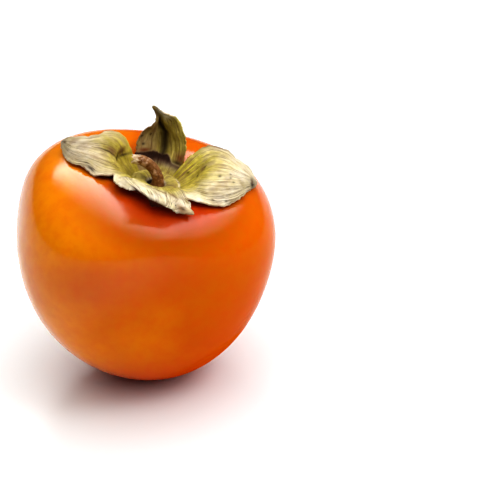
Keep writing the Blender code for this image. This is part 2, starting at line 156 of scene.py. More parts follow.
# The margins: how webs and tip hold them, and their waves and fraying, as (waves along, height).
HELD_POWER, HELD_FADE = 4, 0.1
TIP_HELD = (1.0, 0.93)
EDGE_POWER = 6
MARGIN_LANES = 0.7
MARGIN_WAVES = ((9, 0.5), (22, 0.25))
MARGIN_FRAY = ((26, 0.4), (60, 0.28))
# The back sepal's deep fold, which turns aside, between two raised lobes.
FOLD_DEPTH, FOLD_WIDTH = 1.5, 0.17
FOLD_ACROSS, FOLD_TURN, FOLD_TURN_START = -0.08, 2.2, 0.52
FOLD_START, FOLD_END = (0.12, 0.3), (0.88, 0.6)
LOBE_RISE, LOBE_ASIDE, LOBE_WIDTH = 0.7, 0.55, 0.3
# The hollow under the front sepal's lip. Its edge comes nearer to the disc at both sides, each as (side,
# place across where that starts, rise, power).
HOLLOW_DEPTH = 1.0
HOLLOW_EDGE = (0.80, 0.85)
HOLLOW_SIDES = ((-1, 0.25, 0.2, 1), (1, 0.4, 0.3, 1.5))
# Single places with half sizes: the left sepal's crease, the lip's right corner, which is drawn out, and
# the left sepal's lower margin, which is drawn in.
CREASE_DEPTH = 0.7
CREASE = ((-0.25, 0.21), (0.5, 0.035))
LIP_CORNER_SHIFT = np.array((1.6, -0.4, -0.1))
LIP_CORNER = ((1.0, 0.46), (0.14, 0.05))
DRAWN_IN_DEPTH = 1.6
DRAWN_IN = ((1.0, 0.52), (0.35, 0.12))
# How far the front margins of two sepals are pressed down towards the skin, and where.
MARGIN_PRESSED = {"left": 1.0, "right": 0.6}
PRESSED_ACROSS, PRESSED_ALONG = (0.55, 1.0), (0.25, 0.4)

# Tones over the sepals, from 0 to 1: green near the disc, with brown patches.
PATCH_SIZE, PATCH_SEED = 3.0, 40.0
PATCH_BROWN, PATCH_RANGE = 0.3, (0.5, 0.85)
GREEN_REACH, GREEN_RAGGED = (24.0, 12.0), 6.0
LEFT_BROWN = 0.23
RIGHT_BROWN, RIGHT_BROWN_START = 0.12, (0.25, 0.5)
# Painted shade in the hollow under the front sepal's lip: dark, and red like the shaded skin there.
HOLLOW_SHADE_DARK, HOLLOW_SHADE_RED = 0.4, 0.97
TIP_BROWN = 0.5
# The back sepal: a browner and redder left lobe, a plain beak, and painted shade, dark in its fold and
# dark red at its base, which is shorter at the right.
LEFT_LOBE = (0.0, 0.5)
BEAK_ALONG, BEAK_ACROSS = (0.66, 0.78), (0.2, -0.5)
BACK_BROWN, LOBE_BROWN = 0.20, 0.42
BACK_GREEN, LOBE_GREEN = 0.85, 0.30
BACK_RED, LOBE_RED = 0.12, 0.30
FOLD_SHADE, FOLD_SHADE_WIDTH = 0.9, 0.13
FOLD_SHADE_START, FOLD_SHADE_END = (0.1, 0.25), (0.9, 0.7)
BASE_SHADE_END, BASE_SHADE_END_DROP, BASE_SHADE_DROP_ACROSS = 0.27, 0.11, (-0.2, -0.6)
BASE_SHADE_START, BASE_SHADE_SOFTNESS = (0.02, 0.17), 0.05
BASE_SHADE_DARK, BASE_SHADE_RED = 0.95, 0.9

# Marks on the sepals, by tone: (place across, place along, half size across, half size along). Some marks
# paint shade and some paint light, as said at each.
MARK_STRENGTH = 0.9
MARKS = {
    "left": {
        # The first three dark marks are painted shade, in the pocket at the sepal's base and along its
        # crease.
        "dark": ((-0.08, 0.215, 0.2, 0.025), (-0.55, 0.195, 0.4, 0.012), (0.05, 0.4, 0.03, 0.13),
                 (0.9, 0.46, 0.04, 0.05), (0.82, 0.53, 0.03, 0.03)),
        "brown": ((-0.05, 0.34, 0.22, 0.09), (-0.45, 0.25, 0.35, 0.05), (-0.85, 0.93, 0.35, 0.02),
                  (0.1, 0.93, 0.3, 0.03)),
    },
    "right": {
        # The first two dark marks are painted shade in the pocket at the sepal's base.
        "dark": ((0.3, 0.31, 0.05, 0.025), (0.12, 0.18, 0.08, 0.02), (-0.07, 0.51, 0.035, 0.013),
                 (0.03, 0.61, 0.03, 0.012), (-0.1, 0.61, 0.025, 0.012), (-0.25, 0.64, 0.03, 0.014),
                 (-0.82, 0.41, 0.025, 0.013), (-0.88, 0.51, 0.025, 0.013), (0.58, 0.11, 0.04, 0.012),
                 (-0.6, 0.9, 0.3, 0.03)),
        "brown": ((0.28, 0.27, 0.12, 0.04), (-0.2, 0.9, 0.6, 0.03), (0.98, 0.5, 0.05, 0.16)),
    },
    "front": {
        "dark": ((0.55, 0.67, 0.04, 0.03), (0.9, 0.52, 0.03, 0.02), (0.75, 0.6, 0.03, 0.02),
                 # This dark mark and the red mark below are painted shade, dark red like the shaded skin
                 # under the lip.
                 (-0.71, 0.73, 0.05, 0.07)),
        "red": ((-0.71, 0.73, 0.07, 0.09),),
        "brown": ((0.2, 0.44, 0.28, 0.03), (0.65, 0.33, 0.1, 0.08), (-0.8, 0.32, 0.04, 0.03),
                  (0.9, 0.55, 0.2, 0.1)),
    },
    "back": {
        # Painted light: the lobes' bottom edges glow reddish brown where they are backlit.
        "red": ((0.72, 0.28, 0.3, 0.04), (-0.85, 0.22, 0.3, 0.08)),
        # The first dark mark is painted shade in the recess near the base.
        "dark": ((-0.78, 0.16, 0.3, 0.03), (0.93, 0.48, 0.06, 0.02), (0.78, 0.37, 0.06, 0.02),
                 (0.6, 0.52, 0.04, 0.018)),
    },
}

# The disc: its lumps, a pale rim at its right that is a painted highlight, the pale foot round the stem's
# dark hole, its tones, and what the vein pattern reads on it: degrees to a lane, and the number that
# stands for a sepal's.
DISC_LUMP_SIZE, DISC_LUMP_HEIGHT, DISC_SEED = 2.2, 0.18, 70.0
HIGHLIGHT_RIM_RADIUS, HIGHLIGHT_RIM_WIDTH = 6.9, 0.35
HIGHLIGHT_RIM_TURN, HIGHLIGHT_RIM_REACH = 15.0, (0.3, 0.8)
FOOT_RADII, HOLE_RADII = (2.8, 3.4), (2.5, 2.8)
DISC_GREEN, DISC_BROWN, HOLE_DARK = 0.9, 0.25, 0.9
MIDDLE_BROWN, MIDDLE_DARK = 0.8, 0.5
DISC_LANE, DISC_NUMBER = 90, 7.0

# The stem's centre line in the plane y = 0, as (x, z, radius), and its gap over the disc's seat.
STEM_LINE = ((0.6, 15.9, 1.95), (0.3, 18.6, 1.7), (-1.7, 21.5, 1.6), (-4.7, 23.2, 1.5),
             (-8.1, 23.2, 1.35))
STEM_GAP = 0.1
STEM_RINGS = 90
STEM_SIDES = 56
# The bark's furrows and knots, as shares of the radius, and the foot's spread.
BARK_LANES, BARK_WAVES, BARK_SEED = 3.2, 3, 3.0
KNOT_SIZE, KNOT_SEED = 1.3, 8.0
FURROW_SHARE, KNOT_SHARE = 0.10, 0.09
FOOT_SPREAD, FOOT_LENGTH = 0.6, 0.06
# The torn end, from a share of the length on, and its rings, as (share of the radius, depth).
BREAK_DEPTH, BREAK_START = 0.9, 0.9
BREAK_LANES, BREAK_SEED = 2.5, 21.0
BREAK_RISE = 0.1
BREAK_RINGS = ((0.75, 0.25), (0.45, 0.5), (0.2, 0.35))
BREAK_MIDDLE = 0.4
FIBRE_SIZE, FIBRE_DEPTH, FIBRE_SEED = 0.5, 0.35, 30.0
# Where the stem is pale: at the torn end, with a ragged start, and on the knots over the foot.
PALE_END, PALE_RAGGED = (0.83, 0.88), 0.12
PALE_FOOT, PALE_KNOTS = (0.05, 0.02), (0.0, 0.3)

# Veins painted on the sepals: (lanes across, waves along, width, strength, depth, colour).
SHADER_VEINS = (
    (6.0, 0.6, 0.026, 0.70, 0.8, (0.24, 0.13, 0.06)),
    (14.0, 1.0, 0.034, 0.60, 0.6, (0.32, 0.18, 0.08)),
    (28.0, 2.2, 0.060, 0.35, 0.4, (0.42, 0.28, 0.14)),
)

# Colours of the skin. It is yellower at the left, partly its own colour and partly painted light where more
# light falls, and its redder patches are painted shade.
SKIN_ORANGE = (0.68, 0.150, 0.001)
SKIN_YELLOW = (0.93, 0.30, 0.002)
# Painted shade, redder and darker at the lower right.
SKIN_SIDE_SHADE = (0.72, 0.088, 0.001)
# Painted shade in a darker band across the front, below the shoulder.
SKIN_BAND_SHADE = (0.66, 0.115, 0.001)
# Painted shade, darker and redder near the bottom.
SKIN_FOOT_SHADE = (0.60, 0.04, 0.001)
# Painted shade of the calyx on the skin: a ring on the shoulder, and darker collar shade just under it.
SKIN_SHOULDER_SHADE = (0.47, 0.11, 0.001)
SKIN_COLLAR_SHADE = (0.54, 0.040, 0.001)
SKIN_SPECK = (0.72, 0.08, 0.001)
# Where they lie, in metres on the imported model: directions in which a measure grows, and centres, with
# each axis stretched first. The centre of the painted shade round the calyx is in the fruit's frame.
YELLOW_TOWARD = (-11.0, 0.0, -2.0)
SIDE_SHADE_TOWARD, SIDE_SHADE_OFFSET = (0.6, -0.3, -0.8), 0.02
BAND_SHADE_STRETCH, BAND_SHADE_CENTRE = (0.5, 1.0, 1.5), (-0.002, -0.037, 0.0735)
COLLAR_SHADE_STRETCH, COLLAR_SHADE_CENTRE = (0.75, 1.0, 1.5), (4.5, -20.0, 23.0)
SHADED_GLOSS_TOWARD, SHADED_GLOSS_OFFSET = (1.0, -0.5, -1.4), 0.08
CLOUD_SCALE, SPECK_SCALE, PORE_SCALE = 30.0, 300.0, 1300.0

# Colours of the sepals: (paper, straw) for each material, and the tones that go over them.
SEPAL_PAPERS = {
    "sepal_upper": ((0.97, 0.87, 0.67), (0.87, 0.74, 0.43)),
    "sepal_under": ((0.52, 0.38, 0.22), (0.40, 0.28, 0.14)),
    "sepal_edge": ((0.88, 0.78, 0.58), (0.62, 0.46, 0.27)),
}
SEPAL_LIME, SEPAL_OLIVE = (0.74, 0.61, 0.10), (0.50, 0.41, 0.03)
SEPAL_BROWN = (0.22, 0.10, 0.03)
# The red and dark colours are partly the sepals' own marks, and partly painted shade and backlit glow.
SEPAL_RED = (0.20, 0.035, 0.006)
SEPAL_DARK = (0.028, 0.009, 0.003)
# Colours of the stem's bark and broken wood, the dark point under the fruit, and the floor.
BARK_DARK, BARK_BROWN, BARK_SCUFF = (0.14, 0.050, 0.012), (0.34, 0.16, 0.05), (0.60, 0.38, 0.24)
WOOD_DARK, WOOD_PALE = (0.42, 0.24, 0.10), (0.85, 0.70, 0.50)
POINT_DARK, POINT_BROWN = (0.012, 0.007, 0.004), (0.06, 0.03, 0.012)
FLOOR_COLOUR = (0.85, 0.885, 0.895)
FLOOR_SIZE, FLOOR_DROP = 8.0, 0.0002

# The camera, as found from the photograph. Its aim is counted from where the fruit's origin lands.
CAMERA_ELEVATION = math.radians(28.0)
CAMERA_DISTANCE = 500.0
CAMERA_AIM = (31.3, 0.0, -5.84)
CAMERA_LENS = 119.5
CAMERA_SENSOR = 36.0
CAMERA_CLIP = 0.01

# The lights, in metres and watts: the softbox that only the gloss shows, and the key that it doesn't.
SOFTBOX_HEIGHT = 0.8
SOFTBOX_RAISE = 0.06
SOFTBOX_SIZE = (2.4, 2.9)
SOFTBOX_POWER = 116.0
# Its pattern, in places divided by its height: its middle, and ramps as (0 at, 1 at). The dim part's level
# is a share of the bright part's, and a glow is added round the notch.
SOFTBOX_MIDDLE = (0.3, -0.1)
SOFTBOX_SLANT, SOFTBOX_SLANT_EDGE = (0.83, 0.56), (-0.42, 0.20)
SOFTBOX_RIGHT_EDGE, SOFTBOX_FRONT_EDGE = (1.55, 0.9), (-2.0, -0.9)
BRIGHT_RIGHT_EDGE, BRIGHT_FRONT_EDGE = (0.45, 0.05), (-0.9, -0.1)
SOFTBOX_DIM = 0.46
SOFTBOX_GLOW = 0.28
# The notch's left, front and right sides: the way each measure grows, its edge, and the glow's edge.
NOTCH_SIDES = (
    ((1.0, 0.15), (0.10, 0.14), (-0.20, 0.08)),
    ((0.3, 1.0), (-0.40, -0.36), (-0.75, -0.45)),
    ((1.0, -0.5), (0.59, 0.55), (0.85, 0.65)),
)
# The notch's right side runs straight back in front of this place.
NOTCH_BEND = 0.25
KEY_PLACE = (0.55, -0.22, 0.80)
KEY_AIM = (0.0, 0.0, 0.04)
KEY_SIZE = (0.35, 0.35)
KEY_POWER = 1.5
# The surround's level below and overhead, which way overhead is, where the level starts to rise, and the
# level that the gloss sees.
HORIZON_LEVEL = 0.02
OVERHEAD_LEVEL = 1.86
OVERHEAD_TOWARD = (0.20, 0.02, 0.98)
OVERHEAD_START = 0.35
MIRRORED_LEVEL = 0.05
WHITE = (1.0, 1.0, 1.0)


def smoothstep(low, high, value):
    """0 below low, 1 above high, and a smooth ramp between them."""
    t = np.clip((value - low) / (high - low), 0.0, 1.0)
    return t * t * (3 - 2 * t)


def noise_at(points, scale, seed=0.0):
    """Smooth noise from about -1 to 1 at points in mm, with features of the scale's size."""
    flat = np.asarray(points, float).reshape(-1, 3) / scale + seed
    values = np.fromiter((noise.noise(point) for point in flat), float, len(flat))
    return values.reshape(np.asarray(points).shape[:-1])


def fruit_surface(latitude, azimuth):
    """Points on the skin, from latitude -90 degrees at the blossom end to 90 at the calyx."""
    lat = np.radians(np.asarray(latitude, float))
    turn = np.radians(np.asarray(azimuth, float))
    across, rise = np.cos(lat), np.sin(lat)
    upper = rise > 0
    power = np.where(upper, UPPER_POWER, LOWER_POWER)
    reach = (np.abs(across) ** power + np.abs(rise) ** power) ** (-1 / power)
    lobes = FOUR_LOBE_SHARE * np.cos(4 * (turn - math.radians(FOUR_LOBE_TURN))) * across ** 2
    oval = OVAL_SHARE * np.cos(2 * (turn - math.radians(OVAL_TURN))) * across
    radius = FRUIT_RADIUS * reach * across * (1 + lobes + oval)
    cavity = CAVITY_DEPTH * np.exp(-(radius / CAVITY_RADIUS) ** 2)
    cavity += PIT_DEPTH * np.exp(-(radius / PIT_RADIUS) ** 4)
    dimple = DIMPLE_DEPTH * np.exp(-(radius / DIMPLE_RADIUS) ** 2)
    height = np.where(upper, UPPER_HEIGHT * reach * rise - cavity, LOWER_HEIGHT * reach * rise + dimple)
    shift = np.where(upper, 0.0, APEX_SHIFT * (reach * rise) ** 2)
    return np.stack([radius * np.cos(turn) + shift, radius * np.sin(turn), height], -1)


def skin_height(x, y, halvings=36):
    """Height of the upper skin at x and y, found by halving the latitudes."""
    distance = np.hypot(x, y)
    azimuth = np.degrees(np.arctan2(y, x))
    low = np.zeros_like(distance)
    high = np.full_like(distance, 90.0)
    for _ in range(halvings):
        middle = (low + high) / 2
        point = fruit_surface(middle, azimuth)
        outside = np.hypot(point[..., 0], point[..., 1]) > distance
        low = np.where(outside, middle, low)
        high = np.where(outside, high, middle)
    return fruit_surface(low, azimuth)[..., 2]


def over_skin(azimuth, distance, height):
    """Points at a height over the skin, from their azimuth in degrees and distance from the axis."""
    turn = np.radians(np.asarray(azimuth, float))
    x, y = distance * np.cos(turn), distance * np.sin(turn)
    return np.stack([x, y, skin_height(x, y) + height], -1)


def blended(t, start, end, start_slope, end_slope):
    """The smooth cubic from start to end with the given slopes, at shares t of the way."""
    return (start * (2 * t ** 3 - 3 * t ** 2 + 1) + end * (3 * t ** 2 - 2 * t ** 3)
            + start_slope * (t ** 3 - 2 * t ** 2 + t) + end_slope * (t ** 3 - t ** 2))


def smooth_curve(points, steps=400):
    """A dense smooth curve through the points, and the index at which it passes each of them."""
    points = np.asarray(points, float)
    chords = np.linalg.norm(np.diff(points, axis=0), axis=1) ** SPACING_POWER
    knots = np.concatenate([[0], np.cumsum(chords)]) / chords.sum()
    slopes = np.diff(points, axis=0) / np.diff(knots)[:, None]
    tangents = np.concatenate([slopes[:1], slopes[1:], slopes[-1:]])
    if len(points) > 2:
        before, after = np.diff(knots)[:-1, None], np.diff(knots)[1:, None]
        tangents[1:-1] = (slopes[:-1] * after + slopes[1:] * before) / (before + after)
    places = np.linspace(0, 1, steps)
    span = np.clip(np.searchsorted(knots, places, side="right") - 1, 0, len(points) - 2)
    width = (knots[span + 1] - knots[span])[:, None]
    t = (places - knots[span])[:, None] / width
    curve = blended(t, points[span], points[span + 1], width * tangents[span], width * tangents[span + 1])
    return curve, np.rint(knots * (steps - 1)).astype(int)


def even_points(curve, count):
    """Points at even distances along a dense curve, both ends included."""
    length = np.concatenate([[0], np.cumsum(np.linalg.norm(np.diff(curve, axis=0), axis=1))])
    wanted = np.linspace(0, length[-1], count)
    return np.stack([np.interp(wanted, length, curve[:, axis]) for axis in range(3)], -1)


def through(rows, places):
    """A smooth curve through rows of points, read at places counted in rows."""
    last = len(rows) - 1
    span = np.clip(np.floor(places).astype(int), 0, last - 1)
    t = (places - span).reshape(-1, *([1] * (rows.ndim - 1)))
    padded = np.concatenate([[2 * rows[0] - rows[1]], rows, [2 * rows[-1] - rows[-2]]])
    before, here, there, after = padded[span], padded[span + 1], padded[span + 2], padded[span + 3]
    return blended(t, here, there, (there - before) / 2, (after - here) / 2)


def packed_grid(name):
    """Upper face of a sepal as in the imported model, from the groove to the tip."""
    first_cleft, last_cleft, ribs, tip = SEPALS[name]
    start, end = CLEFTS[first_cleft][0], CLEFTS[last_cleft][0]
    if end < start:
        end += 360
    last = len(ribs) - 1
    sampled = []
    for index, rib in enumerate(ribs):
        foot = over_skin(start + (end - start) * index / last, GROOVE_RADIUS, GROOVE_HEIGHT)
        points = [over_skin(*point) for point in list(rib) + [tip]]
        if index in (0, last):
            cleft = CLEFTS[first_cleft if index == 0 else last_cleft][1]
            web = [foot] + [over_skin(*point) for point in cleft]
            inner = even_points(smooth_curve(web)[0], WEB_ROWS + 1)
            outer = even_points(smooth_curve(web[-1:] + points)[0], BLADE_ROWS + 1)
        else:
            curve, passes = smooth_curve([foot] + points)
            inner = even_points(curve[:passes[1] + 1], WEB_ROWS + 1)
            outer = even_points(curve[passes[1]:], BLADE_ROWS + 1)
        sampled.append(np.concatenate([inner, outer[1:]]))
    ribs = np.array(sampled)
    rows = through(ribs, np.linspace(0, last, SEPAL_COLUMNS + 1))
    shares = np.arange(SEPAL_COLUMNS + 1) / SEPAL_COLUMNS
    chord = ribs[0] + (ribs[-1] - ribs[0]) * shares[:, None, None]
    width = np.linalg.norm(ribs[-1] - ribs[0], axis=-1)
    bulge = np.clip(width / FLAT_WIDTH, 0, 1)[:, None] ** FLATTENING_POWER
    grid = (chord + (rows - chord) * bulge).transpose(1, 0, 2)
    for _ in range(RELAX_PASSES):
        smooth = grid.copy()
        smooth[1:-1] = (grid[:-2] + grid[2:] + 2 * grid[1:-1]) / 4
        smooth[1:-1, 1:-1] = (smooth[1:-1, 1:-1] + (grid[1:-1, :-2] + grid[1:-1, 2:]) / 2) / 2
        smooth[:WEB_ROWS + 1, [0, -1]] = grid[:WEB_ROWS + 1, [0, -1]]
        grid = smooth
    return grid, start, end


def fine_grid(name):
    """The sepal's upper face on finer rows and columns, and the places across and along it."""
    grid, start, end = packed_grid(name)
    rows, columns = (WEB_ROWS + BLADE_ROWS) * FINER_ROWS, SEPAL_COLUMNS * FINER_COLUMNS
    grid = through(grid, np.arange(rows + 1) / FINER_ROWS)
    grid = through(grid.transpose(1, 0, 2), np.arange(columns + 1) / FINER_COLUMNS).transpose(1, 0, 2)
    grid[0] = over_skin(np.linspace(start, end, columns + 1), GROOVE_RADIUS, GROOVE_HEIGHT)
    along, across = np.linspace(0, 1, rows + 1), np.linspace(-1, 1, columns + 1)
    along, across = np.meshgrid(along, across, indexing="ij")
    return grid, across, along


def grid_normals(grid):
    """Unit normals of a grid of points, towards its upper face."""
    down_rows = np.gradient(grid, axis=0)
    over_columns = np.gradient(grid, axis=1)
    normals = np.cross(down_rows, over_columns)
    lengths = np.linalg.norm(normals, axis=-1, keepdims=True)
    normals = normals / np.maximum(lengths, TINY)
    normals[-1] = normals[-2]
    return normals


def ridged(values):
    """Noise turned into thin raised lines with broad valleys between them."""
    return 1 - 2 * np.abs(values) ** RIDGE_POWER


def streaks(across, along, lanes, waves, seed):
    """Noise with so many lanes across a sepal and waves along it."""
    places = [across * lanes, along * waves, np.full_like(along, seed)]
    return noise_at(np.stack(places, -1), 1.0)


def mound(across, along, place, sizes):
    """1 at a place on a sepal, dying away over the half sizes across and along."""
    return np.exp(-((across - place[0]) / sizes[0]) ** 2 - ((along - place[1]) / sizes[1]) ** 2)


def fold_line(along):
    """How far across the back sepal its deep fold runs."""
    return FOLD_ACROSS + FOLD_TURN * np.maximum(along - FOLD_TURN_START, 0)


def lip_hollow(across, along):
    """1 in the dark hollow under the front sepal's lip, and 0 elsewhere."""
    for side, start, rise, power in HOLLOW_SIDES:
        along = along + rise * np.maximum(side * across - start, 0) ** power
    return smoothstep(*HOLLOW_EDGE, along)


def folds(name, across, along):
    """The deep folds that single sepals have, in mm along the sheet's normal."""
    if name == "back":
        reach = smoothstep(*FOLD_START, along) * smoothstep(*FOLD_END, along)
        aside = across - fold_line(along)
        lobes = LOBE_RISE * np.exp(-((np.abs(aside) - LOBE_ASIDE) / LOBE_WIDTH) ** 2)
        return reach * (lobes - FOLD_DEPTH * np.exp(-(aside / FOLD_WIDTH) ** 2))
    if name == "front":
        return -HOLLOW_DEPTH * lip_hollow(across, along)
    if name == "left":
        return -CREASE_DEPTH * mound(across, along, *CREASE)
    return 0 * along


def veined(name, grid, across, along):
    """The sepal with its veins, crumpling, folds and frayed margins."""
    seed = SEED_STEP * (1 + SEPAL_ORDER.index(name))
    web_end = WEB_ROWS / (WEB_ROWS + BLADE_ROWS)
    free = 1 - across ** HELD_POWER * (1 - smoothstep(web_end, web_end + HELD_FADE, along))
    free = free * smoothstep(0.0, HELD_FADE, along) * smoothstep(*TIP_HELD, along)
    veins = ridged(streaks(across, along, VEIN_LANES, VEIN_WAVES, seed))
    lift = VEIN_HEIGHT * veins * smoothstep(*VEIN_START, along)
    for size, height in CRUMPLE:
        lift = lift + height * noise_at(grid, size, seed)
    lift = lift + folds(name, across, along)
    edge = np.abs(across) ** EDGE_POWER
    for waves, height in MARGIN_WAVES:
        lift = lift + height * edge * streaks(across, along, MARGIN_LANES, waves, seed)
    fray = sum(depth * streaks(across, along, MARGIN_LANES, waves, seed + waves)
               for waves, depth in MARGIN_FRAY)
    outward = np.gradient(grid, axis=1)
    outward = outward / np.maximum(np.linalg.norm(outward, axis=-1, keepdims=True), TINY)
    outward = outward * np.sign(across)[..., None]
    shift = (lift * free)[..., None] * grid_normals(grid) + (fray * edge ** 2 * free)[..., None] * outward
    if name == "front":
        shift = shift + mound(across, along, *LIP_CORNER)[..., None] * LIP_CORNER_SHIFT
    if name == "left":
        shift = shift - DRAWN_IN_DEPTH * mound(across, along, *DRAWN_IN)[..., None] * outward
    if name in MARGIN_PRESSED:
        to_front = across if name == "left" else -across
        pressed = smoothstep(*PRESSED_ACROSS, to_front) * smoothstep(*PRESSED_ALONG, along)
        shift[..., 2] -= MARGIN_PRESSED[name] * pressed
    return grid + shift


def kept_clear(grid):
    """The grid with every point kept a little way above the skin."""
    x, y = grid[1:, :, 0], grid[1:, :, 1]
    lowest = skin_height(x, y) + SHEET_THICKNESS + SHEET_CLEARANCE
    grid[1:, :, 2] = np.maximum(grid[1:, :, 2], lowest)
    return grid


def leaning():
    """The turn and shift, in mm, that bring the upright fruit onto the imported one."""
    turn = np.array(Matrix.Rotation(LEAN, 3, "Y"))
    latitude, azimuth = np.meshgrid(np.linspace(-90, 90, SKIN_RINGS), np.linspace(0, 360, SKIN_SEGMENTS))
    own = fruit_surface(latitude, azimuth).reshape(-1, 3) @ turn.T
    low, high = (np.array(corner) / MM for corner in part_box("fruit"))
    shift = (low + high) / 2 - (own.min(0) + own.max(0)) / 2
    shift[2] = high[2] - own[:, 2].max()
    return turn, shift


LEAN_TURN, LEAN_SHIFT = leaning()


def to_row(points):
    """Points in mm in the fruit's own frame, leaned into the row's frame in metres."""
    return (np.asarray(points, float) @ LEAN_TURN.T + LEAN_SHIFT) * MM


def new_piece(name, points, faces, attributes, *nodes):
    """A smooth-shaded mesh piece at the origin that rides on the body and replaces CAD nodes."""
    mesh = bpy.data.meshes.new(name)
    mesh.from_pydata([tuple(point) for point in points], [], faces)
    for key, values in attributes.items():
        kind = "FLOAT_VECTOR" if np.ndim(values) == 2 else "FLOAT"
        layer = mesh.attributes.new(key, kind, "POINT")
        layer.data.foreach_set("vector" if kind == "FLOAT_VECTOR" else "value", np.ravel(values))
    mesh.shade_smooth()
    piece = bpy.data.objects.new(name, mesh)
    scene.collection.objects.link(piece)
    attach(piece, "root")
    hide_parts(*nodes)
    return piece


def closed_tube(rings, sides):
    """Faces over rings of points, and over the two points after them that close the ends."""
    first_pole, last_pole = rings * sides, rings * sides + 1
    last_ring = (rings - 1) * sides
    faces = []
    for corner in range(sides):
        after = (corner + 1) % sides
        faces.append((first_pole, after, corner))
        faces.append((last_pole, last_ring + corner, last_ring + after))
        for low in range(0, last_ring, sides):
            high = low + sides
            faces.append((low + corner, low + after, high + after, high + corner))
    return faces


def build_skin():
    """The fruit's skin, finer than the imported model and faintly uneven."""
    latitudes = np.linspace(-90, 90, SKIN_RINGS + 1)[1:-1]
    azimuths = np.arange(SKIN_SEGMENTS) * 360 / SKIN_SEGMENTS
    latitude, azimuth = np.meshgrid(latitudes, azimuths, indexing="ij")
    points = fruit_surface(latitude, azimuth)
    poles = fruit_surface(np.array([-90.0, 90.0]), np.zeros(2))
    outward = points / np.linalg.norm(points, axis=-1, keepdims=True)
    for size, height in SKIN_SWELLINGS:
        points = points + height * noise_at(points, size)[..., None] * outward
    everything = to_row(np.concatenate([points.reshape(-1, 3), poles]))
    everything[:, 2] = np.maximum(everything[:, 2], 0.0)
    faces = closed_tube(len(latitudes), SKIN_SEGMENTS)
    piece = new_piece("fruit_skin", everything, faces, {}, "fruit")
    return piece


class Sheet:
    """The calyx as one sheet of points and faces, with the values that its material reads."""

    def __init__(self):
        self.points = []
        self.leaf = []
        self.tones = {"green": [], "brown": [], "dark": [], "red": []}
        self.faces = []

    def vertex(self, point, leaf, **tones):
        self.points.append(point)
        self.leaf.append(leaf)
        for key, values in self.tones.items():
            values.append(tones.get(key, 0.0))
        return len(self.points) - 1


def sepal_tones(name, points, across, along):
    """How green, brown, dark and red a sepal is over its face, each from 0 to 1."""
    distance = np.hypot(points[..., 0], points[..., 1])
    patchy = 0.5 + 0.5 * noise_at(points, PATCH_SIZE, PATCH_SEED)
    tones = {
        "green": smoothstep(*GREEN_REACH, distance + GREEN_RAGGED * (patchy - 0.5)),
        "brown": PATCH_BROWN * smoothstep(*PATCH_RANGE, patchy),
        "dark": 0 * along,
        "red": 0 * along,
    }
    if name == "back":
        tones = back_sepal_tones(patchy, across, along)
    if name == "left":
        tones["brown"] = tones["brown"] + LEFT_BROWN
    if name == "right":
        tones["brown"] = tones["brown"] + RIGHT_BROWN * smoothstep(*RIGHT_BROWN_START, along)
    if name == "front":
        # Painted shade in the hollow under the lip, dark and red like the shaded skin, with no green.
        hollow_shade = lip_hollow(across, along)
        tones["dark"] = HOLLOW_SHADE_DARK * hollow_shade
        tones["red"] = HOLLOW_SHADE_RED * hollow_shade
        tones["green"] = tones["green"] * (1 - hollow_shade)
    for tone, marks in MARKS[name].items():
        for mark in marks:
            level = MARK_STRENGTH * mound(across, along, mark[:2], mark[2:])
            tones[tone] = np.maximum(tones[tone], level)
    return tones


def back_sepal_tones(patchy, across, along):
    """The same tones for the back sepal: lobe, beak, and painted shade in its fold and at its base."""
    left_lobe = smoothstep(*LEFT_LOBE, across)
    plain = 1 - smoothstep(*BEAK_ALONG, along) * smoothstep(*BEAK_ACROSS, across)
    fold_shade = np.exp(-((across - fold_line(along)) / FOLD_SHADE_WIDTH) ** 2)
    fold_shade = fold_shade * smoothstep(*FOLD_SHADE_START, along) * smoothstep(*FOLD_SHADE_END, along)
    base_shade_end = BASE_SHADE_END - BASE_SHADE_END_DROP * smoothstep(*BASE_SHADE_DROP_ACROSS, across)
    base_shade = smoothstep(base_shade_end, base_shade_end - BASE_SHADE_SOFTNESS, along) * smoothstep(*BASE_SHADE_START, along)
    return {
        "green": (BACK_GREEN - LOBE_GREEN * left_lobe) * plain * (1 - base_shade),
        "brown": (BACK_BROWN * patchy + LOBE_BROWN * left_lobe) * plain,
        "dark": np.maximum(FOLD_SHADE * fold_shade, BASE_SHADE_DARK * base_shade),
        "red": np.maximum(BASE_SHADE_RED * base_shade, (BACK_RED + LOBE_RED * left_lobe) * patchy * plain),
    }


